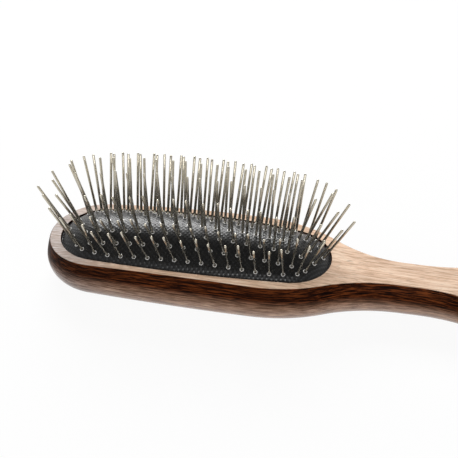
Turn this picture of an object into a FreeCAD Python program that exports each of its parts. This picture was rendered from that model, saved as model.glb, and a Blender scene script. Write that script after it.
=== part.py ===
import FreeCAD, Part
import math
import os

from FreeCAD import Vector

# Pin brush for grooming pets: a hardwood body, a domed rubber cushion in its head, and seven
# staggered rows of steel pins that stand square to the dome, less splayed sideways at its ends.
# All sizes are in millimetres. X runs along the brush towards the handle, Y across it and
# Z up along the pins. The origin is on the flat back, under the middle of the cushion.

# Mouth of the recess, which the cushion fills: two end arcs joined by two long side arcs
MOUTH_LENGTH = 120.0
MOUTH_WIDTH = 42.4
MOUTH_SIDE_BOW = 2.7
RECESS_DEPTH = 10.0

# Dome of the cushion: an arched crest, straight flanks and two rounded ends
CREST_RADIUS = 19.0
FLANK_ANGLE = 32.0
DOME_END_LENGTH = 21.0
DOME_END_POWER = 2.2
DOME_END_DROP = 1.6
CUSHION_SINK = 0.3
CUSHION_GAP = 0.2

# Wooden head
END_RIM_WIDTH = 5.0
SIDE_RIM_WIDTH = 3.8
HEAD_SIDE_BOW = 2.4
HEAD_THICKNESS = 20.8
CROWN_RADIUS = 880.0
CROWN_PLACE = 8.0

# Neck
SHOULDER_BACKSET = 32.0
SHOULDER_LENGTH = 63.0
NECK_HALF_WIDTH = 8.0
NECK_LENGTH = 8.0
NECK_DROP = 2.9

# Handle
FLARE_LENGTH = 40.0
GRIP_LENGTH = 16.0
HANDLE_HALF_WIDTH = 13.0
HANDLE_CROWN_RADIUS = 700.0

# Sides of the wood: how far they bulge past the top edge, and the rounding under them
HEAD_BULGE = 1.3
HANDLE_BULGE = 3.3
BELLY_RADIUS = 10.0

# Pins: one row on the crest and as many beside it on each flank, each with a pin less
FLANK_ROWS = 3
PIN_PITCH = 5.95
PIN_END_MARGIN = 3.4
ROW_SPACING = 6.1
PIN_EDGE_MARGIN = 3.9
PIN_MARGIN_POWER = 3.6
PIN_END_SPLAY = 0.5
PIN_DIAMETER = 1.1
PIN_REACH = 26.0
PIN_SEAT_DEPTH = 3.0
PIN_SIDES = 5

# Working sizes, which only shape what is cut away: how far it clears the model, how far the
# flanks and the dome's sheet run on past their edges, and how many points carry a curve
CLEAR = 60.0
LID_CLEARANCE = 2.0
SHEET_END_MARGIN = 4.0
SHEET_SIDE_MARGIN = 4.8
SHEET_STATIONS = 11
SHEET_POINTS = 9
TOP_FACE_STEPS = 28
SLOPE_STEP = 0.5

MOUTH_HALF_LENGTH = MOUTH_LENGTH / 2.0
MOUTH_HALF_WIDTH = MOUTH_WIDTH / 2.0
MOUTH_END_RADIUS = MOUTH_HALF_WIDTH - MOUTH_SIDE_BOW
HEAD_HALF_LENGTH = MOUTH_HALF_LENGTH + END_RIM_WIDTH
HEAD_HALF_WIDTH = MOUTH_HALF_WIDTH + SIDE_RIM_WIDTH
NOSE_RADIUS = HEAD_HALF_WIDTH - HEAD_SIDE_BOW
SHOULDER_START = MOUTH_HALF_LENGTH - SHOULDER_BACKSET
NECK_START = SHOULDER_START + SHOULDER_LENGTH
FLARE_START = NECK_START + NECK_LENGTH
GRIP_START = FLARE_START + FLARE_LENGTH
GRIP_END = GRIP_START + GRIP_LENGTH
BELLY_HEIGHT = 1.2 * BELLY_RADIUS
LID_HEIGHT = HEAD_THICKNESS + LID_CLEARANCE
FLANK_SLOPE = math.radians(FLANK_ANGLE)
CREST_HALF_WIDTH = CREST_RADIUS * math.sin(FLANK_SLOPE)
FLANK_WIDTH = MOUTH_HALF_WIDTH - CREST_HALF_WIDTH
CREST_RISE = FLANK_WIDTH * math.tan(FLANK_SLOPE) + CREST_RADIUS * (1.0 - math.cos(FLANK_SLOPE))
DOME_END_START = MOUTH_HALF_LENGTH - DOME_END_LENGTH
CREST_PINS = int((MOUTH_LENGTH - 2.0 * PIN_END_MARGIN) / PIN_PITCH) + 1


def side_arc_radius(end_radius, half_width, reach):
    """Return the radius of a side arc that touches an end arc.

    The side arc is at its widest a given reach past the middle of the end arc.
    """
    gain = half_width - end_radius
    return (reach**2 / gain + end_radius + half_width) / 2.0


MOUTH_SIDE_RADIUS = side_arc_radius(
    MOUTH_END_RADIUS, MOUTH_HALF_WIDTH, MOUTH_HALF_LENGTH - MOUTH_END_RADIUS
)


def point_on(centre, radius, degrees, height):
    """Return a point of an upright circle's outline, at an angle from X."""
    turn = math.radians(degrees)
    return Vector(centre[0] + radius * math.cos(turn), centre[1] + radius * math.sin(turn), height)


def arc(centre, radius, start, end, height):
    """Return an arc at a height, between two angles from X."""
    points = [point_on(centre, radius, turn, height) for turn in (start, (start + end) / 2.0, end)]
    return Part.Arc(*points).toShape()


def s_bend(x_start, y_start, x_end, y_end, height):
    """Return two equal arcs that lead from one line along X to another."""
    length = x_end - x_start
    rise = y_end - y_start
    radius = (length**2 + rise**2) / (4.0 * abs(rise))
    turn = math.degrees(2.0 * math.atan2(abs(rise), length))
    if rise < 0.0:
        first = arc((x_start, y_start - radius), radius, 90.0, 90.0 - turn, height)
        second = arc((x_end, y_end + radius), radius, 270.0 - turn, 270.0, height)
    else:
        first = arc((x_start, y_start + radius), radius, 270.0, 270.0 + turn, height)
        second = arc((x_end, y_end - radius), radius, 90.0 + turn, 90.0, height)
    return [first, second]


def mirrored_wire(edges):
    """Return a closed wire from half an outline and its mirror image over the X axis."""
    other_half = [edge.mirror(Vector(0, 0, 0), Vector(0, 1, 0)) for edge in reversed(edges)]
    return Part.Wire(Part.__sortEdges__(edges + other_half))


def body_wire(head_growth, handle_growth, height):
    """Return the plan of head, neck and handle, grown from the crest's sizes."""
    head = HEAD_HALF_WIDTH + head_growth
    neck = NECK_HALF_WIDTH + handle_growth
    handle = HANDLE_HALF_WIDTH + handle_growth
    nose_radius = NOSE_RADIUS + head_growth
    nose_place = NOSE_RADIUS - HEAD_HALF_LENGTH
    side_radius = side_arc_radius(nose_radius, head, SHOULDER_START - nose_place)
    side_centre = (SHOULDER_START, head - side_radius)
    joint = 180.0 - math.degrees(math.atan2(-side_centre[1], SHOULDER_START - nose_place))
    edges = [
        arc((nose_place, 0.0), nose_radius, 180.0, joint, height),
        arc(side_centre, side_radius, joint, 90.0, height),
    ]
    edges += s_bend(SHOULDER_START, head, NECK_START, neck, height)
    edges.append(Part.makeLine(Vector(NECK_START, neck, height), Vector(FLARE_START, neck, height)))
    edges += s_bend(FLARE_START, neck, GRIP_START, handle, height)
    edges.append(Part.makeLine(Vector(GRIP_START, handle, height), Vector(GRIP_END, handle, height)))
    edges.append(arc((GRIP_END, 0.0), handle, 90.0, 0.0, height))
    return mirrored_wire(edges)


def mouth_prism(inset, low, high):
    """Return an upright prism on the mouth's outline, set in from it, between two heights."""
    end_place = MOUTH_HALF_LENGTH - MOUTH_END_RADIUS
    side_centre = (0.0, MOUTH_HALF_WIDTH - MOUTH_SIDE_RADIUS)
    joint = math.degrees(math.atan2(-side_centre[1], end_place))
    edges = [
        arc((-end_place, 0.0), MOUTH_END_RADIUS - inset, 180.0, 180.0 - joint, low),
        arc(side_centre, MOUTH_SIDE_RADIUS - inset, 180.0 - joint, joint, low),
        arc((end_place, 0.0), MOUTH_END_RADIUS - inset, joint, 0.0, low),
    ]
    return Part.Face(mirrored_wire(edges)).extrude(Vector(0, 0, high - low))


def crown_height(x):
    """Return the height of the crowned head at a place along it."""
    return HEAD_THICKNESS - (x - CROWN_PLACE) ** 2 / (2.0 * CROWN_RADIUS)


def top_height(x):
    """Return the height of the top face along the head, neck and handle."""
    if x <= HEAD_HALF_LENGTH:
        return crown_height(x)
    neck_height = HEAD_THICKNESS - NECK_DROP
    if x >= FLARE_START:
        return neck_height - (x - FLARE_START) ** 2 / (2.0 * HANDLE_CROWN_RADIUS)
    span = FLARE_START - HEAD_HALF_LENGTH
    share = (x - HEAD_HALF_LENGTH) / span
    fall = -(HEAD_HALF_LENGTH - CROWN_PLACE) / CROWN_RADIUS * span
    blend = 3.0 * share**2 - 2.0 * share**3
    start = crown_height(HEAD_HALF_LENGTH)
    return start * (1.0 - blend) + neck_height * blend + fall * share * (1.0 - share) ** 2


def air_above():
    """Return the block of air above the top face."""
    start = -HEAD_HALF_LENGTH - CLEAR / 2.0
    end = GRIP_END + CLEAR
    stride = (end - start) / TOP_FACE_STEPS
    places = [start + stride * step for step in range(TOP_FACE_STEPS + 1)]
    curve = Part.BSplineCurve()
    curve.interpolate([Vector(x, -CLEAR, top_height(x)) for x in places])
    first = curve.StartPoint
    last = curve.EndPoint
    last_high = Vector(last.x, last.y, HEAD_THICKNESS + CLEAR)
    first_high = Vector(first.x, first.y, HEAD_THICKNESS + CLEAR)
    edges = [
        curve.toShape(),
        Part.makeLine(last, last_high),
        Part.makeLine(last_high, first_high),
        Part.makeLine(first_high, first),
    ]
    return Part.Face(Part.Wire(edges)).extrude(Vector(0, 2.0 * CLEAR, 0))


def lid_growth(bulge, top):
    """Return how much less the plan is at the lid than at its widest, on a straight flank."""
    return -bulge * (LID_HEIGHT - top) / (top - BELLY_HEIGHT)


def wooden_body():
    """Return the wood: head, neck and handle in one piece, with the cushion's recess."""
    belly = Part.Face(body_wire(HEAD_BULGE, HANDLE_BULGE, 0.0)).extrude(Vector(0, 0, BELLY_HEIGHT))
    lower_edges = [edge for edge in belly.Edges if edge.BoundBox.ZMax < 0.001]
    belly = belly.makeFillet(BELLY_RADIUS, lower_edges)
    widest = body_wire(HEAD_BULGE, HANDLE_BULGE, BELLY_HEIGHT)
    lid = body_wire(
        lid_growth(HEAD_BULGE, HEAD_THICKNESS),
        lid_growth(HANDLE_BULGE, HEAD_THICKNESS - NECK_DROP),
        LID_HEIGHT,
    )
    flanks = Part.makeLoft([widest, lid], True, True)
    body = belly.fuse(flanks).removeSplitter()
    body = body.cut(air_above())
    return body.cut(mouth_prism(0.0, HEAD_THICKNESS - RECESS_DEPTH, HEAD_THICKNESS + CLEAR)).Solids[0]


def dome_profile(run):
    """Return the dome's rise at a run from its crest line, before the ends taper it."""
    if run < CREST_HALF_WIDTH:
        return CREST_RISE - CREST_RADIUS + math.sqrt(CREST_RADIUS**2 - run**2)
    return (MOUTH_HALF_WIDTH - run) * math.tan(FLANK_SLOPE)


def dome_height(x, y):
    """Return the height of the cushion's upper surface."""
    inner = min(abs(x), DOME_END_START)
    half_width = MOUTH_HALF_WIDTH - inner**2 / (2.0 * MOUTH_SIDE_RADIUS)
    across = abs(y) * MOUTH_HALF_WIDTH / half_width
    beyond = max(0.0, abs(x) - DOME_END_START)
    run = (beyond**DOME_END_POWER + across**DOME_END_POWER) ** (1.0 / DOME_END_POWER)
    rise = dome_profile(run)
    taper = DOME_END_DROP * min(1.0, (x / DOME_END_START) ** 2)
    return crown_height(x) - CUSHION_SINK + rise - taper * max(0.0, rise) / CREST_RISE


def air_above_dome():
    """Return the block of air above the dome, from a smooth sheet over the whole mouth."""
    half_length = MOUTH_HALF_LENGTH + SHEET_END_MARGIN
    half_width = MOUTH_HALF_WIDTH + SHEET_SIDE_MARGIN
    shares = [step / (SHEET_POINTS - 1) for step in range(SHEET_POINTS)]
    curves = []
    for station in range(SHEET_STATIONS):
        x = half_length * (2.0 * station / (SHEET_STATIONS - 1) - 1.0)
        points = []
        for share in shares:
            y = half_width * (2.0 * share - 1.0)
            points.append(Vector(x, y, dome_height(x, y)))
        curve = Part.BSplineCurve()
        curve.interpolate(Points=points, Parameters=shares)
        curves.append(Part.Wire([curve.toShape()]))
    sheet = Part.makeLoft(curves, False, False, False, 3)
    return sheet.Faces[0].extrude(Vector(0, 0, CLEAR))


def pin_axis(x, y):
    """Return a pin's direction: square to the dome, and less splayed sideways near the ends."""
    rise_x = dome_height(x + SLOPE_STEP, y) - dome_height(x - SLOPE_STEP, y)
    rise_y = dome_height(x, y + SLOPE_STEP) - dome_height(x, y - SLOPE_STEP)
    slope_x = rise_x / (2.0 * SLOPE_STEP)
    slope_y = rise_y / (2.0 * SLOPE_STEP)
    last = MOUTH_HALF_LENGTH - PIN_END_MARGIN
    beyond = (abs(x) - DOME_END_START) / (last - DOME_END_START)
    share = min(1.0, max(0.0, beyond))
    sideways = 1.0 - (1.0 - PIN_END_SPLAY) * share
    return Vector(-slope_x, -slope_y * sideways, 1.0).normalize()


def row_place(rank):
    """Return how far from the crest line a row stands, by its distance along the dome."""
    distance = rank * ROW_SPACING
    arched = CREST_RADIUS * FLANK_SLOPE
    if distance < arched:
        return CREST_RADIUS * math.sin(distance / CREST_RADIUS)
    return CREST_HALF_WIDTH + (distance - arched) * math.cos(FLANK_SLOPE)


def margin_place(x):
    """Return how far from the crest line a pin may stand, clear of the mouth's edge."""
    share = min(1.0, abs(x) / (MOUTH_HALF_LENGTH - PIN_EDGE_MARGIN))
    half_width = MOUTH_HALF_WIDTH - PIN_EDGE_MARGIN
    return half_width * (1.0 - share**PIN_MARGIN_POWER) ** (1.0 / PIN_MARGIN_POWER)


def pin_feet(rank, side):
    """Return the places on the dome of one row of pins."""
    count = CREST_PINS - rank
    places = []
    for number in range(count):
        x = (number - (count - 1) / 2.0) * PIN_PITCH
        y = side * min(row_place(rank), margin_place(x))
        places.append(Vector(x, y, dome_height(x, y)))
    return places


def section(foot, reach):
    """Return the corners of a pin's section, at a reach from its foot on the dome."""
    axis = pin_axis(foot.x, foot.y)
    along = (Vector(1, 0, 0) - axis * axis.x).normalize()
    across = axis.cross(along)
    corners = []
    for number in range(PIN_SIDES):
        turn = 2.0 * math.pi * number / PIN_SIDES
        spoke = along * math.cos(turn) + across * math.sin(turn)
        corners.append(foot + axis * reach + spoke * (PIN_DIAMETER / 2.0))
    return corners


def flat_face(corners):
    """Return a flat face between corners."""
    return Part.Face(Part.makePolygon(corners + corners[:1]))


def many_sided_rod(foot, start, end):
    """Return a rod with flat sides along a pin's axis, between two reaches from its foot."""
    low = section(foot, start)
    high = section(foot, end)
    faces = [flat_face(low), flat_face(high)]
    for number in range(PIN_SIDES):
        following = (number + 1) % PIN_SIDES
        faces.append(flat_face([low[number], low[following], high[following], high[number]]))
    shell = Part.makeShell(faces)
    shell.sewShape()
    return Part.makeSolid(Part.Shell(shell.Faces))


def pin(foot):
    """Return one steel pin, from its seat in the rubber to its tip."""
    return many_sided_rod(foot, -PIN_SEAT_DEPTH, PIN_REACH)


def socket(foot):
    """Return the room for one pin's seat, from its bottom to clear of the dome."""
    return many_sided_rod(foot, -PIN_SEAT_DEPTH, PIN_SEAT_DEPTH)


def cushion(feet):
    """Return the rubber cushion, with a blind socket for each pin."""
    pad = mouth_prism(CUSHION_GAP, HEAD_THICKNESS - RECESS_DEPTH, HEAD_THICKNESS + CREST_RISE)
    pad = pad.cut(air_above_dome())
    sockets = Part.makeCompound([socket(foot) for foot in feet])
    return pad.cut(sockets).Solids[0]


os.makedirs("parts", exist_ok=True)

rows = [pin_feet(rank, -1.0) for rank in range(FLANK_ROWS, 0, -1)]
rows += [pin_feet(rank, 1.0) for rank in range(FLANK_ROWS + 1)]

wooden_body().exportStep("parts/wooden_body.step")
cushion([foot for row in rows for foot in row]).exportStep("parts/cushion.step")
for number, row in enumerate(rows, 1):
    Part.makeCompound([pin(foot) for foot in row]).exportStep(f"parts/pins_row_{number}.step")
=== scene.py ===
"""Looks of the pin brush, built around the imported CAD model.

Sizes are in metres, and places are in the model's own frame.
"""

import math

import bmesh
import bpy
import numpy as np
from mathutils import Matrix, Vector


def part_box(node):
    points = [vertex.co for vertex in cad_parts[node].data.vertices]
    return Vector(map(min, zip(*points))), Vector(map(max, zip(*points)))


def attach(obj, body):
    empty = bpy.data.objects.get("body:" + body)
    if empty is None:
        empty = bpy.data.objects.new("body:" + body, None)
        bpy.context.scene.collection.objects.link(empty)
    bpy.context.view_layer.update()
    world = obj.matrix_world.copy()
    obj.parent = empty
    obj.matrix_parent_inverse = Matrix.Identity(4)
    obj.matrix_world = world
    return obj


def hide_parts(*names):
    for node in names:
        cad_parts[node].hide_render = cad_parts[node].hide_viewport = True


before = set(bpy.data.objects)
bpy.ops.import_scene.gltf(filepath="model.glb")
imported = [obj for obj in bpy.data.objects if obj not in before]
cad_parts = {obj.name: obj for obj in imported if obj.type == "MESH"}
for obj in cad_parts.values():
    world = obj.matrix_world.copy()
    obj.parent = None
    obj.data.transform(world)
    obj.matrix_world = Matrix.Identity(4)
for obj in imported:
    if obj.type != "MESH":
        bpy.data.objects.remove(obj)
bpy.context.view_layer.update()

MM = 0.001

# Mouth of the recess and the dome of the cushion
MOUTH_HALF_LENGTH = 60.0 * MM
MOUTH_HALF_WIDTH = 21.2 * MM
MOUTH_END_RADIUS = 18.5 * MM
RECESS_DEPTH = 10.0 * MM
CREST_RADIUS = 19.0 * MM
FLANK_SLOPE = math.radians(32.0)
DOME_END_LENGTH = 21.0 * MM
DOME_END_POWER = 2.2
DOME_END_DROP = 1.6 * MM
CUSHION_SINK = 0.3 * MM

# Edge of the rubber: its gap to the wood, its rounding, its dip along the mouth, and its skirt
CUSHION_GAP = 0.25 * MM
CUSHION_LIP = 0.5 * MM
CUSHION_DIP = 1.1 * MM
CUSHION_DIP_REACH = 3.4 * MM
CUSHION_SKIRT = 3.0 * MM

# Plan and heights of the wood
HEAD_HALF_LENGTH = 65.0 * MM
HEAD_HALF_WIDTH = 25.0 * MM
NOSE_RADIUS = 22.6 * MM
HEAD_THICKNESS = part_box("wooden_body")[1].z
CROWN_RADIUS = 880.0 * MM
CROWN_PLACE = 8.0 * MM
SHOULDER_START = 28.0 * MM
NECK_START = 91.0 * MM
NECK_HALF_WIDTH = 8.0 * MM
NECK_DROP = 2.9 * MM
FLARE_START = 99.0 * MM
GRIP_START = 139.0 * MM
GRIP_END = 155.0 * MM
HANDLE_HALF_WIDTH = 13.0 * MM
HANDLE_CROWN_RADIUS = 700.0 * MM

# Sides and edges of the wood
HEAD_BULGE = 1.3 * MM
HANDLE_BULGE = 3.3 * MM
BELLY_RADIUS = 10.0 * MM
FLANK_POWER = 1.5
EDGE_ROUNDING = 0.7 * MM
MOUTH_ROUNDING = 0.35 * MM

# Rows of points that hold the rounded edges: down the mouth's wall, and in from each edge of the
# top face, by no more than a share of its width
WALL_SUPPORT = 2.0 * MM
EDGE_SUPPORT = 0.12 * MM
MOST_SUPPORT = 0.3

# Places on the edges where the spacing of the wood's columns changes
MOUTH_SPLIT = 24.0 * MM
CORNER_START = 50.0 * MM
CORNER_END = 66.0 * MM

# Steps of the wood's columns, from the nose to the end of the handle
NOSE_STEPS = 30
SIDE_STEPS = 30
SHOULDER_STEPS = 14
CORNER_STEPS = 24
NECK_BEND_STEPS = 18
NECK_STEPS = 8
FLARE_STEPS = 26
GRIP_STEPS = 5
HANDLE_END_STEPS = 24

# Steps across the top face, round the edges and down the side, and across the rubber
TOP_STEPS = 8
MOUTH_EDGE_STEPS = 4
EDGE_STEPS = 6
FLANK_STEPS = 9
BELLY_STEPS = 16
CUSHION_POINTS = 34
LIP_STEPS = 4

# Pins and their eyelets
PIN_ROWS = 7
PIN_RADIUS = 0.58 * MM
PIN_SEAT_DEPTH = 3.0 * MM
PIN_FACETS = 16
TIP_STEPS = 5
TIP_FLAT = 0.08
COLLAR_RADIUS = 0.78 * MM
COLLAR_THICKNESS = 0.15 * MM
COLLAR_LIFT = 0.05 * MM
COLLAR_STEPS = 8

# Lean of each pin out of its row: the most, the turn from one pin's lean to the next one's, the
# step that spreads the amounts, and the count by which the rows differ
PIN_LEAN = math.radians(2.4)
LEAN_TURN = math.pi * (3.0 - math.sqrt(5.0))
LEAN_STEP = 0.618
LEAN_ROW_SHIFT = 20

# How near two points are merged, and how near two corners of a CAD pin are taken as one
MERGE_DISTANCE = 1e-6
PIN_MERGE_DISTANCE = 1e-8
SAME_PLACE = 0.01 * MM
SAME_CORNER = 0.001 * MM

# Grain, pores and clouds of the wood: how often they change in a metre along X, Y and Z
TOP_GRAIN = (70.0, 1900.0, 1900.0)
SIDE_GRAIN = (120.0, 300.0, 2500.0)
PORES = (260.0, 1600.0, 3000.0)
CLOUDS = (9.0, 80.0, 80.0)

# Colours of the wood by place in the grain: on its top face, pale partly as painted sheen; on its
# sides, whose brightest streaks are partly painted glints; and on its lower curve, paler as a
# painted reflection of the floor
TOP_GRAIN_AND_SHEEN_COLOURS = (
    (0.38, (0.54, 0.355, 0.235)),
    (0.50, (0.78, 0.535, 0.38)),
    (0.62, (0.90, 0.70, 0.535)),
)
# The sides' brightest, orange-brown stop makes grain streaks that are partly painted glints
SIDE_GRAIN_AND_GLINT_COLOURS = (
    (0.40, (0.003, 0.0005, 0.0002)),
    (0.50, (0.026, 0.005, 0.001)),
    (0.60, (0.135, 0.034, 0.008)),
)
# Paler colours of the lower curve: a painted reflection of the floor
FLOOR_REFLECTION_COLOURS = (
    (0.38, (0.17, 0.085, 0.048)),
    (0.50, (0.35, 0.20, 0.128)),
    (0.62, (0.60, 0.38, 0.26)),
)

# Where the wood's looks change: by how far it faces up, by height and by place along it
TOP_FACING = (0.72, 0.97)
# Sides lightened as they turn up towards the top face: a painted highlight
FLANK_HIGHLIGHT_FACING = (0.25, 0.55)
FLANK_HIGHLIGHT_GAIN = 1.5
COAT_FACING = (0.12, -0.20)
# Heights over which the painted floor reflection fades in, and how far it rises along the neck
FLOOR_REFLECTION_HEIGHT = (14.8 * MM, 7.6 * MM)
FLOOR_REFLECTION_SHIFT = 2.0 * MM
# Greyer tint towards the nose: painted sheen
NOSE_SHEEN_PLACE = (-20.0 * MM, -66.0 * MM)
NOSE_SHEEN_TINT = (0.67, 0.82, 1.06, 1.0)

# How the wood's pores and clouds darken or lighten it: a share for a range of their noise
PORE_RANGE = (0.30, 0.42)
PORE_SHADE = (0.72, 1.0)
CLOUD_RANGE = (0.3, 0.7)
CLOUD_SHADE = (0.82, 1.12)

# Cloth print on the rubber: its turn in degrees, its scale, its specks and its colours by height
WEAVE_ANGLE = 38.0
WEAVE_SCALE = 225.0
SPECK_SCALE = 700.0
SPECK_SHARE = 0.5
RUBBER_COLOURS = (
    (0.25, (0.0006, 0.0006, 0.0007)),
    (0.50, (0.001, 0.001, 0.0012)),
    (0.95, (0.03, 0.031, 0.033)),
)
GLOSS_RANGE = (0.25, 0.70)
GLOSS_ROUGHNESS = (0.46, 0.20)

# Steel of the pins and of the eyelets: colour, roughness and how metallic it is
PIN_STEEL = ((0.57, 0.53, 0.44), 0.13, 0.86)
# The eyelets' near-white, mostly diffuse colour is partly a painted highlight, standing in for
# their bright reflections
EYELET_STEEL_AND_HIGHLIGHT = ((0.98, 0.97, 0.95), 0.22, 0.3)
MARK_SCALE = 400.0
MARK_ROUGHNESS = 0.06

# Depth of all bumps
BUMP_DEPTH = 0.0002

# The photograph's camera, in degrees, metres, and pixels of a 458 pixel frame. It looks at a point
# to the right of and above the middle of the head's rim, as the view shows them.
VIEW_AZIMUTH = 11.37
VIEW_ELEVATION = 37.36
VIEW_DISTANCE = 1.2
VIEW_RIGHT = 14.56 * MM
VIEW_UP = 5.94 * MM
VIEW_RIM_SHIFT = 0.4 * MM
FOCAL_PIXELS = 2750.0
FRAME_PIXELS = 458
SENSOR = 36.0
CLIP_START = 0.05
CLIP_END = 50.0

# Room: the floor, and the light of the walls and the ceiling by the height of a direction
FLOOR_HALF_SIZE = 6.0
FLOOR_DROP = 0.2 * MM
FLOOR_COLOUR = (0.86, 0.86, 0.86, 1.0)
FLOOR_WHITENESS = 0.93
WALL_TOP = (0.45, 0.90)
WALL_LIGHT = 0.58
CEILING_LIGHT = 0.04

# Lamps: place and size in metres, and power in watts
LAMPS = {
    "softbox_behind": ((-0.35, 1.1, 0.85), (1.0, 0.6), 26.0),
    "softbox_in_front": ((0.2, -1.3, 0.75), (0.8, 0.5), 6.0),
}

# Sockets of a colour mix, by number, because others of its sockets have the same names
MIX_FIRST = 6
MIX_SECOND = 7
MIX_RESULT = 2


def smooth_step(value, start, end):
    """Return 0 before start, 1 after end and a smooth rise between them."""
    share = min(1.0, max(0.0, (value - start) / (end - start)))
    return share * share * (3.0 - 2.0 * share)


def quarter_turns(steps):
    """Return the angles of equal steps up to a quarter turn, without the first, which is 0."""
    return [math.pi / 2.0 * step / steps for step in range(1, steps + 1)]


def side_arc_radius(end_radius, half_width, reach):
    """Return the radius of a side arc that touches an end arc.

    The side arc is at its widest a given reach past the middle of the end arc.
    """
    return (reach**2 / (half_width - end_radius) + end_radius + half_width) / 2.0


MOUTH_END_PLACE = MOUTH_HALF_LENGTH - MOUTH_END_RADIUS
MOUTH_SIDE_RADIUS = side_arc_radius(MOUTH_END_RADIUS, MOUTH_HALF_WIDTH, MOUTH_END_PLACE)
CREST_HALF_WIDTH = CREST_RADIUS * math.sin(FLANK_SLOPE)
CREST_RISE = (MOUTH_HALF_WIDTH - CREST_HALF_WIDTH) * math.tan(FLANK_SLOPE)
CREST_RISE += CREST_RADIUS * (1.0 - math.cos(FLANK_SLOPE))


def crown_height(x):
    """Return the height of the crowned head at a place along it."""
    return HEAD_THICKNESS - (x - CROWN_PLACE) ** 2 / (2.0 * CROWN_RADIUS)


def top_height(x):
    """Return the height of the top face along the head, neck and handle."""
    if x <= HEAD_HALF_LENGTH:
        return crown_height(x)
    neck_height = HEAD_THICKNESS - NECK_DROP
    if x >= FLARE_START:
        return neck_height - (x - FLARE_START) ** 2 / (2.0 * HANDLE_CROWN_RADIUS)
    span = FLARE_START - HEAD_HALF_LENGTH
    share = (x - HEAD_HALF_LENGTH) / span
    fall = -(HEAD_HALF_LENGTH - CROWN_PLACE) / CROWN_RADIUS * span
    blend = 3.0 * share**2 - 2.0 * share**3
    start = crown_height(HEAD_HALF_LENGTH)
    return start * (1.0 - blend) + neck_height * blend + fall * share * (1.0 - share) ** 2


def dome_height(x, y):
    """Return the height of the cushion's upper surface."""
    end_start = MOUTH_HALF_LENGTH - DOME_END_LENGTH
    half_width = MOUTH_HALF_WIDTH - min(abs(x), end_start) ** 2 / (2.0 * MOUTH_SIDE_RADIUS)
    across = abs(y) * MOUTH_HALF_WIDTH / half_width
    beyond = max(0.0, abs(x) - end_start)
    run = (beyond**DOME_END_POWER + across**DOME_END_POWER) ** (1.0 / DOME_END_POWER)
    if run < CREST_HALF_WIDTH:
        rise = CREST_RISE - CREST_RADIUS + math.sqrt(CREST_RADIUS**2 - run**2)
    else:
        rise = (MOUTH_HALF_WIDTH - run) * math.tan(FLANK_SLOPE)
    taper = DOME_END_DROP * min(1.0, (x / end_start) ** 2)
    return crown_height(x) - CUSHION_SINK + rise - taper * max(0.0, rise) / CREST_RISE


def mouth_depth(x, y):
    """Return how far a place lies inside the mouth's outline."""
    side_place = MOUTH_SIDE_RADIUS - MOUTH_HALF_WIDTH
    if abs(x) * side_place > (abs(y) + side_place) * MOUTH_END_PLACE:
        return MOUTH_END_RADIUS - math.hypot(abs(x) - MOUTH_END_PLACE, y)
    return MOUTH_SIDE_RADIUS - math.hypot(x, abs(y) + side_place)


def cushion_height(x, y):
    """Return the height of the rubber, which dips where it is tucked in along the mouth."""
    depth = max(0.0, mouth_depth(x, y))
    return dome_height(x, y) - CUSHION_DIP * (1.0 - smooth_step(depth, 0.0, CUSHION_DIP_REACH))


def arc_points(centre, radius, start, end, steps):
    """Return places along an arc, between two angles in degrees, without the last one.

    A place on an outline holds X, Y and its outward direction, here and in what follows.
    """
    result = []
    for step in range(steps):
        turn = math.radians(start + (end - start) * step / steps)
        out = (math.cos(turn), math.sin(turn))
        result.append((centre[0] + radius * out[0], centre[1] + radius * out[1], *out))
    return result


def bend_point(x, x_start, y_start, x_end, y_end):
    """Return a place on an S bend of two equal arcs, by how far along X it is."""
    length = x_end - x_start
    rise = y_end - y_start
    radius = (length**2 + rise**2) / (4.0 * abs(rise))
    sign = -math.copysign(1.0, rise)
    if x < (x_start + x_end) / 2.0:
        run = x - x_start
        y = y_start - sign * (radius - math.sqrt(radius**2 - run**2))
    else:
        run = x_end - x
        y = y_end + sign * (radius - math.sqrt(radius**2 - run**2))
    lean = run / radius
    return x, y, sign * lean, math.sqrt(1.0 - lean**2)


def even_places(first, last, steps):
    """Return evenly spaced places along X, without the last one."""
    return [first + (last - first) * step / steps for step in range(steps)]


def bend_points(first, last, steps, bend):
    """Return places along part of an S bend, without the last one."""
    return [bend_point(x, *bend) for x in even_places(first, last, steps)]


def straight_points(first, last, steps, half_width):
    """Return places along a straight side, without the last one."""
    return [(x, half_width, 0.0, 1.0) for x in even_places(first, last, steps)]


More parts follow.
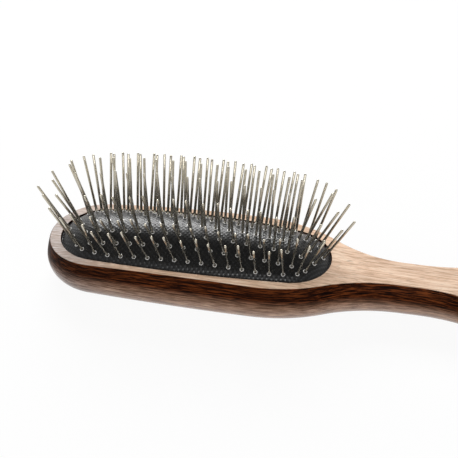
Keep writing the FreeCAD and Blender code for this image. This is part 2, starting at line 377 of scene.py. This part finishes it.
def outline_stations():
    """Return the places on the top edge, their partners and the count of partners on the mouth.

    The places run along one half of the wood, from the nose to the end of the handle. The partners
    are on the mouth, and past its end on the middle line of the handle.
    """
    nose_place = NOSE_RADIUS - HEAD_HALF_LENGTH
    side_radius = side_arc_radius(NOSE_RADIUS, HEAD_HALF_WIDTH, SHOULDER_START - nose_place)
    side_centre = (SHOULDER_START, HEAD_HALF_WIDTH - side_radius)
    joint = 180.0 - math.degrees(math.atan2(-side_centre[1], SHOULDER_START - nose_place))
    shoulder = (SHOULDER_START, HEAD_HALF_WIDTH, NECK_START, NECK_HALF_WIDTH)
    flare = (FLARE_START, NECK_HALF_WIDTH, GRIP_START, HANDLE_HALF_WIDTH)
    mouth_centre = (0.0, MOUTH_HALF_WIDTH - MOUTH_SIDE_RADIUS)
    mouth_joint = math.degrees(math.atan2(-mouth_centre[1], MOUTH_END_PLACE))
    mouth_split = math.degrees(math.acos(MOUTH_SPLIT / MOUTH_SIDE_RADIUS))

    edge = arc_points((nose_place, 0.0), NOSE_RADIUS, 180.0, joint, NOSE_STEPS)
    edge += arc_points(side_centre, side_radius, joint, 90.0, SIDE_STEPS)
    edge += bend_points(SHOULDER_START, CORNER_START, SHOULDER_STEPS, shoulder)
    edge += bend_points(CORNER_START, CORNER_END, CORNER_STEPS, shoulder)
    edge += bend_points(CORNER_END, NECK_START, NECK_BEND_STEPS, shoulder)
    edge += straight_points(NECK_START, FLARE_START, NECK_STEPS, NECK_HALF_WIDTH)
    edge += bend_points(FLARE_START, GRIP_START, FLARE_STEPS, flare)
    edge += straight_points(GRIP_START, GRIP_END, GRIP_STEPS, HANDLE_HALF_WIDTH)
    edge += arc_points((GRIP_END, 0.0), HANDLE_HALF_WIDTH, 90.0, 0.0, HANDLE_END_STEPS)
    end = GRIP_END + HANDLE_HALF_WIDTH
    edge.append((end, 0.0, 1.0, 0.0))

    nose_angles = (180.0, 180.0 - mouth_joint)
    partners = arc_points((-MOUTH_END_PLACE, 0.0), MOUTH_END_RADIUS, *nose_angles, NOSE_STEPS)
    side_angles = (180.0 - mouth_joint, mouth_split)
    partners += arc_points(mouth_centre, MOUTH_SIDE_RADIUS, *side_angles, SIDE_STEPS)
    partners += arc_points(
        mouth_centre, MOUTH_SIDE_RADIUS, mouth_split, mouth_joint, SHOULDER_STEPS
    )
    partners += arc_points(
        (MOUTH_END_PLACE, 0.0), MOUTH_END_RADIUS, mouth_joint, 0.0, CORNER_STEPS
    )
    partners.append((MOUTH_HALF_LENGTH, 0.0, 1.0, 0.0))
    mouth_count = len(partners)
    start = edge[mouth_count - 1][0]
    for place in edge[mouth_count:]:
        share = (place[0] - start) / (end - start)
        x = MOUTH_HALF_LENGTH + (GRIP_END - MOUTH_HALF_LENGTH) * share
        partners.append((x, 0.0, 0.0, 0.0))
    return edge, partners, mouth_count


def moved(place, offset):
    """Return the X and Y of a place on an outline, moved outwards by an offset."""
    return place[0] + place[2] * offset, place[1] + place[3] * offset


def side_profile(x):
    """Return offsets and heights down the side of the wood, from its rounded edge to the back."""
    top = top_height(x)
    bulge = HEAD_BULGE + (HANDLE_BULGE - HEAD_BULGE) * smooth_step(x, SHOULDER_START, NECK_START)
    depth = top - BELLY_RADIUS
    lean = math.atan2(FLANK_POWER * bulge, depth)
    centre = -EDGE_ROUNDING * (1.0 - math.sin(lean)) / math.cos(lean)
    profile = [(centre, top)]
    for step in range(1, EDGE_STEPS + 1):
        turn = math.pi / 2.0 + (lean - math.pi / 2.0) * step / EDGE_STEPS
        offset = centre + EDGE_ROUNDING * math.cos(turn)
        profile.append((offset, top - EDGE_ROUNDING * (1.0 - math.sin(turn))))
    rounded = (top - profile[-1][1]) / depth
    for step in range(1, FLANK_STEPS + 1):
        share = rounded + (1.0 - rounded) * step / FLANK_STEPS
        offset = bulge * (1.0 - max(0.0, 1.0 - share) ** FLANK_POWER)
        profile.append((offset, top - depth * share))
    for turn in quarter_turns(BELLY_STEPS):
        offset = bulge - BELLY_RADIUS * (1.0 - math.cos(turn))
        profile.append((offset, BELLY_RADIUS * (1.0 - math.sin(turn))))
    return profile


def mouth_profile(x):
    """Return offsets into the wood and heights, up the mouth's wall and over its rounded edge."""
    top = crown_height(x)
    floor = HEAD_THICKNESS - RECESS_DEPTH
    profile = [(0.0, floor), (0.0, top - WALL_SUPPORT), (0.0, top - MOUTH_ROUNDING)]
    for turn in quarter_turns(MOUTH_EDGE_STEPS):
        offset = MOUTH_ROUNDING * (1.0 - math.cos(turn))
        profile.append((offset, top - MOUTH_ROUNDING * (1.0 - math.sin(turn))))
    return profile


def top_strip(start, end):
    """Return the points across the top face between two others, with a support near each."""
    length = math.hypot(end[0] - start[0], end[1] - start[1])
    near = min(MOST_SUPPORT, EDGE_SUPPORT / max(length, EDGE_SUPPORT))
    even = [step / TOP_STEPS for step in range(1, TOP_STEPS)]
    shares = [near] + [share for share in even if near < share < 1.0 - near]
    shares += [shares[-1]] * (TOP_STEPS - len(shares))
    shares.append(1.0 - near)
    points = []
    for share in shares:
        x = start[0] + (end[0] - start[0]) * share
        y = start[1] + (end[1] - start[1]) * share
        points.append((x, y, top_height(x)))
    return points


def wooden_half():
    """Return the columns of points of one half of the wood, and how many reach into the mouth.

    All columns have the same length: those past the mouth start with blanks.
    """
    edge, partners, mouth_count = outline_stations()
    blanks = len(mouth_profile(0.0)) - 1
    columns = []
    for number, (place, partner) in enumerate(zip(edge, partners)):
        if number < mouth_count:
            column = [(*moved(partner, offset), z) for offset, z in mouth_profile(partner[0])]
            x, y, _ = column[-1]
            column[-1] = (x, y, top_height(x))
        else:
            column = [None] * blanks
            column.append((partner[0], 0.0, top_height(partner[0])))
        profile = side_profile(place[0])
        column += top_strip(column[-1], moved(place, profile[0][0]))
        column += [(*moved(place, offset), z) for offset, z in profile]
        columns.append(column)
    return columns, mouth_count


def mesh_object(name, points, faces, merge=MERGE_DISTANCE):
    """Return a smooth mesh object that rides on the brush, with doubled points merged."""
    mesh = bpy.data.meshes.new(name)
    mesh.from_pydata([tuple(point) for point in points], [], faces)
    work = bmesh.new()
    work.from_mesh(mesh)
    bmesh.ops.remove_doubles(work, verts=work.verts, dist=merge)
    bmesh.ops.dissolve_degenerate(work, edges=work.edges, dist=merge)
    bmesh.ops.recalc_face_normals(work, faces=work.faces)
    work.to_mesh(mesh)
    work.free()
    mesh.shade_smooth()
    piece = bpy.data.objects.new(name, mesh)
    bpy.context.scene.collection.objects.link(piece)
    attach(piece, "root")
    return piece


def wooden_piece():
    """Build the wood: a smooth body with rounded edges and the recess."""
    columns, mouth_count = wooden_half()
    height = len(columns[0])
    points = []
    index = {}
    for side in (1.0, -1.0):
        for number, column in enumerate(columns):
            for row, point in enumerate(column):
                if point is not None:
                    index[(side, number, row)] = len(points)
                    points.append((point[0], side * point[1], point[2]))
    faces = []
    for side in (1.0, -1.0):
        for number in range(len(columns) - 1):
            following = number + 1
            for row in range(height - 1):
                corners = [(number, row), (following, row), (following, row + 1), (number, row + 1)]
                keys = [(side, *corner) for corner in corners]
                if all(key in index for key in keys):
                    faces.append([index[key] for key in keys])
    for row, count in ((0, mouth_count), (height - 1, len(columns))):
        for number in range(count - 1):
            following = number + 1
            corners = [(1.0, number), (1.0, following), (-1.0, following), (-1.0, number)]
            faces.append([index[(*corner, row)] for corner in corners])
    piece = mesh_object("wood", points, faces)
    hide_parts("wooden_body")
    return piece


def cushion_piece():
    """Build the rubber cushion: the dome, its rounded edge, a short skirt and the underside."""
    _, partners, mouth_count = outline_stations()
    columns = []
    for place in partners[:mouth_count]:
        limit_x, limit_y = moved(place, -(CUSHION_GAP + CUSHION_LIP))
        column = []
        for step in range(CUSHION_POINTS):
            share = step / (CUSHION_POINTS - 1)
            y = limit_y * share
            column.append((limit_x, y, cushion_height(limit_x, y)))
        rim = column[-1][2]
        for turn in quarter_turns(LIP_STEPS):
            offset = CUSHION_GAP + CUSHION_LIP * (1.0 - math.sin(turn))
            column.append((*moved(place, -offset), rim - CUSHION_LIP * (1.0 - math.cos(turn))))
        column.append((*moved(place, -CUSHION_GAP), rim - CUSHION_SKIRT))
        columns.append(column)
    height = len(columns[0])
    points = []
    for side in (1.0, -1.0):
        for column in columns:
            points += [(x, side * y, z) for x, y, z in column]
    faces = []
    half = len(columns) * height
    for start in (0, half):
        for number in range(len(columns) - 1):
            for row in range(height - 1):
                first = start + number * height + row
                faces.append([first, first + height, first + height + 1, first + 1])
    for number in range(len(columns) - 1):
        first = number * height + height - 1
        faces.append([first, first + height, half + first + height, half + first])
    piece = mesh_object("rubber_cushion", points, faces)
    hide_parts("cushion")
    return piece


def pin_lines(node):
    """Return the seat, tip and direction of each pin in a CAD row, from left to right."""
    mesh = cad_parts[node].data
    places = np.array([vertex.co for vertex in mesh.vertices], float)
    root = list(range(len(places)))

    def find(item):
        while root[item] != item:
            root[item] = root[root[item]]
            item = root[item]
        return item

    same = {}
    for number, place in enumerate(places):
        key = tuple(np.round(place / SAME_PLACE).astype(int))
        root[find(number)] = find(same.setdefault(key, number))
    for edge in mesh.edges:
        root[find(edge.vertices[0])] = find(edge.vertices[1])
    groups = {}
    for number in range(len(places)):
        groups.setdefault(find(number), []).append(number)
    lines = []
    for members in groups.values():
        corners = np.unique(np.round(places[members] / SAME_CORNER), axis=0) * SAME_CORNER
        middle = corners.mean(axis=0)
        axis = np.linalg.svd(corners - middle)[2][0]
        axis = axis if axis[2] > 0.0 else -axis
        reach = (corners - middle) @ axis
        seat = Vector(middle + axis * reach.min())
        tip = Vector(middle + axis * reach.max())
        lines.append((seat, tip, Vector(axis)))
    return sorted(lines, key=lambda line: line[0].x)


def square_pair(axis):
    """Return two directions that are square to an axis and to each other."""
    along = axis.orthogonal().normalized()
    return along, axis.cross(along)


def rings(points, faces, axis, sections, closed):
    """Add rings of points, each a middle and a radius, joined in turn.

    Closed rings join the last ring to the first one. The others get a face over each end.
    """
    along, across = square_pair(axis)
    start = len(points)
    for middle, radius in sections:
        for number in range(PIN_FACETS):
            turn = 2.0 * math.pi * number / PIN_FACETS
            points.append(middle + (along * math.cos(turn) + across * math.sin(turn)) * radius)
    count = len(sections)
    for ring in range(count if closed else count - 1):
        low = start + ring * PIN_FACETS
        high = start + (ring + 1) % count * PIN_FACETS
        for number in range(PIN_FACETS):
            following = (number + 1) % PIN_FACETS
            faces.append([low + number, low + following, high + following, high + number])
    if not closed:
        faces.append([start + number for number in range(PIN_FACETS)])
        last = start + (count - 1) * PIN_FACETS
        faces.append([last + number for number in range(PIN_FACETS)])


def leaned(axis, number):
    """Return a pin's direction with a small lean of its own, as on a used brush."""
    along, across = square_pair(axis)
    turn = number * LEAN_TURN
    lean = math.tan(PIN_LEAN * math.sqrt(number * LEAN_STEP % 1.0))
    return (axis + (along * math.cos(turn) + across * math.sin(turn)) * lean).normalized()


def pin_row(node, first_number):
    """Build one row of round pins with domed tips in place of the CAD row."""
    points = []
    faces = []
    for number, (seat, tip, axis) in enumerate(pin_lines(node), first_number):
        foot = seat + axis * PIN_SEAT_DEPTH
        reach = (tip - foot).length
        axis = leaned(axis, number)
        seat = foot - axis * PIN_SEAT_DEPTH
        tip = foot + axis * reach
        sections = [(seat, PIN_RADIUS)]
        for turn in [0.0] + quarter_turns(TIP_STEPS):
            below = PIN_RADIUS * (1.0 - math.sin(turn))
            radius = max(PIN_RADIUS * math.cos(turn), PIN_RADIUS * TIP_FLAT)
            sections.append((tip - axis * below, radius))
        rings(points, faces, axis, sections, False)
    piece = mesh_object("round_" + node, points, faces, merge=PIN_MERGE_DISTANCE)
    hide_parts(node)
    return piece


def collar_row(node):
    """Build the bright eyelets through which a row of pins leaves the rubber."""
    points = []
    faces = []
    for seat, _, axis in pin_lines(node):
        foot = seat + axis * (PIN_SEAT_DEPTH + COLLAR_LIFT)
        sections = []
        for step in range(COLLAR_STEPS):
            turn = 2.0 * math.pi * step / COLLAR_STEPS
            middle = foot + axis * (COLLAR_THICKNESS * math.sin(turn))
            sections.append((middle, COLLAR_RADIUS + COLLAR_THICKNESS * math.cos(turn)))
        rings(points, faces, axis, sections, True)
    return mesh_object("eyelets_" + node, points, faces, merge=PIN_MERGE_DISTANCE)


class Nodes:
    """The nodes of one material or of the world, with short ways to add and join them."""

    def __init__(self, tree):
        self.tree = tree

    def feed(self, socket, value):
        """Link an output to a socket, or set the socket to a plain value."""
        if isinstance(value, bpy.types.NodeSocket):
            self.tree.links.new(value, socket)
        else:
            socket.default_value = value

    def add(self, kind, **values):
        """Return a new node, with its properties set and its sockets set or linked."""
        node = self.tree.nodes.new(kind)
        for key, value in values.items():
            if key in node.bl_rna.properties:
                setattr(node, key, value)
            else:
                self.feed(node.inputs[key], value)
        return node

    def calculate(self, operation, *values):
        """Return the result of a sum, a product or another operation on values."""
        node = self.add("ShaderNodeMath", operation=operation)
        for socket, value in zip(node.inputs, values):
            self.feed(socket, value)
        return node.outputs["Value"]

    def map_range(self, source, between, results=(0.0, 1.0), smooth=True):
        """Return what runs from one result to the other as the source runs between two values."""
        kind = "SMOOTHSTEP" if smooth else "LINEAR"
        node = self.add("ShaderNodeMapRange", interpolation_type=kind, Value=source)
        node.inputs["From Min"].default_value, node.inputs["From Max"].default_value = between
        node.inputs["To Min"].default_value, node.inputs["To Max"].default_value = results
        return node.outputs["Result"]

    def mix(self, kind, factor, first, second):
        """Return a mix of two colours."""
        node = self.add("ShaderNodeMix", data_type="RGBA", blend_type=kind, Factor=factor)
        self.feed(node.inputs[MIX_FIRST], first)
        self.feed(node.inputs[MIX_SECOND], second)
        return node.outputs[MIX_RESULT]

    def noise(self, place, scale, **values):
        """Return noise that has a scale of its own along each axis."""
        stretched = self.add("ShaderNodeMapping", Vector=place, Scale=scale).outputs["Vector"]
        return self.add("ShaderNodeTexNoise", Vector=stretched, Scale=1.0, **values).outputs["Fac"]

    def ramp(self, source, stops):
        """Return a colour from a ramp with stops of place and colour."""
        node = self.add("ShaderNodeValToRGB", Fac=source)
        elements = node.color_ramp.elements
        while len(elements) < len(stops):
            elements.new(0.5)
        for element, (place, colour) in zip(elements, stops):
            element.position = place
            element.color = (*colour, 1.0)
        return node.outputs["Color"]

    def bump(self, height, strength):
        """Return the direction of a surface that has a height of its own."""
        node = self.add("ShaderNodeBump", Strength=strength, Distance=BUMP_DEPTH, Height=height)
        return node.outputs["Normal"]


def new_material(name):
    """Return a node material, its nodes and its main shader."""
    material = bpy.data.materials.new(name)
    material.use_nodes = True
    return material, Nodes(material.node_tree), material.node_tree.nodes["Principled BSDF"]


def wood_material():
    """Return stained hardwood with grain and pores along its length.

    Its top face is pale, partly as painted sheen, and its sides are dark, with grain streaks that
    are partly painted glints and a painted highlight where they turn up. Painted sheen greys the
    nose, and a painted reflection of the floor makes the lower curve paler again.
    """
    material, nodes, shader = new_material("stained_wood")
    coordinates = nodes.add("ShaderNodeTexCoord")
    place = coordinates.outputs["Object"]
    split_place = nodes.add("ShaderNodeSeparateXYZ", Vector=place)
    along = split_place.outputs["X"]
    facing = nodes.add("ShaderNodeSeparateXYZ", Vector=coordinates.outputs["Normal"]).outputs["Z"]
    top_grain = nodes.noise(place, TOP_GRAIN, Detail=6.0, Roughness=0.6, Distortion=0.3)
    side_grain = nodes.noise(place, SIDE_GRAIN, Detail=6.0, Roughness=0.6, Distortion=0.3)
    pores = nodes.noise(place, PORES, Detail=2.0, Roughness=0.5)
    clouds = nodes.noise(place, CLOUDS, Detail=3.0)

    # Sides lightened where they turn up: a painted highlight
    flank_highlight = nodes.map_range(facing, FLANK_HIGHLIGHT_FACING, (1.0, FLANK_HIGHLIGHT_GAIN))
    # Dark sides in their own grain, whose brightest streaks are partly painted glints
    side = nodes.mix("MULTIPLY", 1.0, nodes.ramp(side_grain, SIDE_GRAIN_AND_GLINT_COLOURS), flank_highlight)
    # Paler lower curve below a height that rises along the neck: a painted reflection of the floor
    shift = nodes.map_range(along, (SHOULDER_START, NECK_START), (0.0, FLOOR_REFLECTION_SHIFT))
    height = nodes.calculate("ADD", split_place.outputs["Z"], shift)
    low = nodes.map_range(height, FLOOR_REFLECTION_HEIGHT)
    colour = nodes.mix("MIX", low, side, nodes.ramp(side_grain, FLOOR_REFLECTION_COLOURS))
    # Pale top face: its own grain, partly lightened as painted sheen
    upward = nodes.map_range(facing, TOP_FACING)
    colour = nodes.mix("MIX", upward, colour, nodes.ramp(top_grain, TOP_GRAIN_AND_SHEEN_COLOURS))
    pore_shade = nodes.map_range(pores, PORE_RANGE, PORE_SHADE, smooth=False)
    colour = nodes.mix("MULTIPLY", 1.0, colour, pore_shade)
    cloud_shade = nodes.map_range(clouds, CLOUD_RANGE, CLOUD_SHADE, smooth=False)
    colour = nodes.mix("MULTIPLY", 1.0, colour, cloud_shade)
    # Nose greyed by painted sheen
    colour = nodes.mix("MULTIPLY", nodes.map_range(along, NOSE_SHEEN_PLACE), colour, NOSE_SHEEN_TINT)

    nodes.feed(shader.inputs["Base Color"], colour)
    nodes.feed(shader.inputs["Normal"], nodes.bump(pores, 0.25))
    nodes.feed(shader.inputs["Coat Weight"], nodes.map_range(facing, COAT_FACING))
    shader.inputs["Coat Roughness"].default_value = 0.25
    shader.inputs["Roughness"].default_value = 0.45
    shader.inputs["Specular IOR Level"].default_value = 0.03
    return material


def rubber_material():
    """Return black rubber with the print of a fine cloth."""
    material, nodes, shader = new_material("black_rubber")
    place = nodes.add("ShaderNodeTexCoord").outputs["Object"]
    turn = (0.0, 0.0, math.radians(WEAVE_ANGLE))
    turned = nodes.add("ShaderNodeMapping", Vector=place, Rotation=turn).outputs["Vector"]
    threads = []
    for direction in ("X", "Y"):
        wave = nodes.add("ShaderNodeTexWave", wave_type="BANDS", bands_direction=direction)
        wave.inputs["Scale"].default_value = WEAVE_SCALE
        wave.inputs["Distortion"].default_value = 0.6
        wave.inputs["Detail"].default_value = 1.0
        nodes.feed(wave.inputs["Vector"], turned)
        threads.append(wave.outputs["Fac"])
    weave = nodes.calculate("MULTIPLY", *threads)
    speck = nodes.add("ShaderNodeTexNoise", Vector=place, Scale=SPECK_SCALE, Detail=2.0)
    height = nodes.calculate("MULTIPLY_ADD", speck.outputs["Fac"], SPECK_SHARE, weave)
    roughness = nodes.map_range(height, GLOSS_RANGE, GLOSS_ROUGHNESS, smooth=False)

    nodes.feed(shader.inputs["Base Color"], nodes.ramp(height, RUBBER_COLOURS))
    nodes.feed(shader.inputs["Normal"], nodes.bump(height, 0.4))
    nodes.feed(shader.inputs["Roughness"], roughness)
    shader.inputs["Specular IOR Level"].default_value = 0.55
    return material


def steel_material(name, colour, roughness, metallic):
    """Return polished steel with faint marks."""
    material, nodes, shader = new_material(name)
    place = nodes.add("ShaderNodeTexCoord").outputs["Object"]
    marks = nodes.add("ShaderNodeTexNoise", Vector=place, Scale=MARK_SCALE, Detail=3.0)
    between = (roughness - MARK_ROUGHNESS, roughness + MARK_ROUGHNESS)
    polish = nodes.map_range(marks.outputs["Fac"], (0.0, 1.0), between, smooth=False)
    nodes.feed(shader.inputs["Roughness"], polish)
    shader.inputs["Base Color"].default_value = (*colour, 1.0)
    shader.inputs["Metallic"].default_value = metallic
    return material


def direct_view(nodes):
    """Return 1 where the camera or a reflection looks straight at the surface, and 0 elsewhere."""
    rays = nodes.add("ShaderNodeLightPath")
    result = rays.outputs["Is Camera Ray"]
    for name in ("Is Glossy Ray", "Is Transmission Ray"):
        result = nodes.calculate("MAXIMUM", result, rays.outputs[name])
    return result


def pale_floor():
    """Add the floor, which looks white straight on and takes the object's shadow."""
    size = FLOOR_HALF_SIZE
    mesh = bpy.data.meshes.new("floor")
    corners = [(-size, -size, 0.0), (size, -size, 0.0), (size, size, 0.0), (-size, size, 0.0)]
    mesh.from_pydata(corners, [], [(0, 1, 2, 3)])
    floor = bpy.data.objects.new("floor", mesh)
    floor.location.z = -FLOOR_DROP
    bpy.context.scene.collection.objects.link(floor)
    material, nodes, shader = new_material("pale_floor")
    shader.inputs["Base Color"].default_value = FLOOR_COLOUR
    shader.inputs["Roughness"].default_value = 1.0
    shader.inputs["Specular IOR Level"].default_value = 0.0
    white = nodes.add("ShaderNodeEmission", Strength=1.0)
    share = nodes.calculate("MULTIPLY", direct_view(nodes), FLOOR_WHITENESS)
    mix = nodes.add("ShaderNodeMixShader", Fac=share)
    nodes.feed(mix.inputs[1], shader.outputs["BSDF"])
    nodes.feed(mix.inputs[2], white.outputs["Emission"])
    output = material.node_tree.nodes["Material Output"]
    nodes.feed(output.inputs["Surface"], mix.outputs["Shader"])
    mesh.materials.append(material)


def room_light():
    """Add the light of a room with pale walls and a darker ceiling."""
    world = bpy.data.worlds.new("studio")
    world.use_nodes = True
    bpy.context.scene.world = world
    nodes = Nodes(world.node_tree)
    direction = nodes.add("ShaderNodeTexCoord").outputs["Generated"]
    height = nodes.add("ShaderNodeSeparateXYZ", Vector=direction).outputs["Z"]
    light = nodes.map_range(height, WALL_TOP, (WALL_LIGHT, CEILING_LIGHT))
    background = world.node_tree.nodes["Background"]
    background.inputs["Color"].default_value = (1.0, 1.0, 1.0, 1.0)
    nodes.feed(background.inputs["Strength"], light)


def soft_lamp(name, place, size, power):
    """Add a soft lamp that shines towards the frame's origin."""
    lamp = bpy.data.lights.new(name, "AREA")
    lamp.shape = "RECTANGLE"
    lamp.size, lamp.size_y = size
    lamp.energy = power
    holder = bpy.data.objects.new(name, lamp)
    holder.location = place
    holder.rotation_euler = (-holder.location).to_track_quat("-Z", "Y").to_euler()
    bpy.context.scene.collection.objects.link(holder)


def photograph_camera():
    """Add the camera at the photograph's viewing angle."""
    azimuth = math.radians(VIEW_AZIMUTH)
    elevation = math.radians(VIEW_ELEVATION)
    level = math.cos(elevation)
    right = Vector((math.cos(azimuth), math.sin(azimuth), 0.0))
    back = Vector((math.sin(azimuth) * level, -math.cos(azimuth) * level, math.sin(elevation)))
    up = back.cross(right)
    camera = bpy.data.cameras.new("camera")
    camera.sensor_width = SENSOR
    camera.lens = SENSOR * FOCAL_PIXELS / FRAME_PIXELS
    camera.clip_start = CLIP_START
    camera.clip_end = CLIP_END
    holder = bpy.data.objects.new("camera", camera)
    rim = Vector((0.0, 0.0, crown_height(0.0) + VIEW_RIM_SHIFT))
    place = rim + right * VIEW_RIGHT + up * VIEW_UP + back * VIEW_DISTANCE
    turn = Matrix((right, up, back)).transposed()
    holder.matrix_world = Matrix.Translation(place) @ turn.to_4x4()
    bpy.context.scene.collection.objects.link(holder)
    bpy.context.scene.camera = holder


wooden_piece().data.materials.append(wood_material())
cushion_piece().data.materials.append(rubber_material())
pin_steel = steel_material("pin_steel", *PIN_STEEL)
# Eyelets whose near-white colour is partly a painted highlight
eyelet_steel_and_highlight = steel_material("eyelet_steel_and_highlight", *EYELET_STEEL_AND_HIGHLIGHT)
for row in range(1, PIN_ROWS + 1):
    node = f"pins_row_{row}"
    pin_row(node, LEAN_ROW_SHIFT * row).data.materials.append(pin_steel)
    collar_row(node).data.materials.append(eyelet_steel_and_highlight)

pale_floor()
room_light()
for name, lamp in LAMPS.items():
    soft_lamp(name, *lamp)
photograph_camera()
bpy.context.scene.view_settings.view_transform = "Standard"
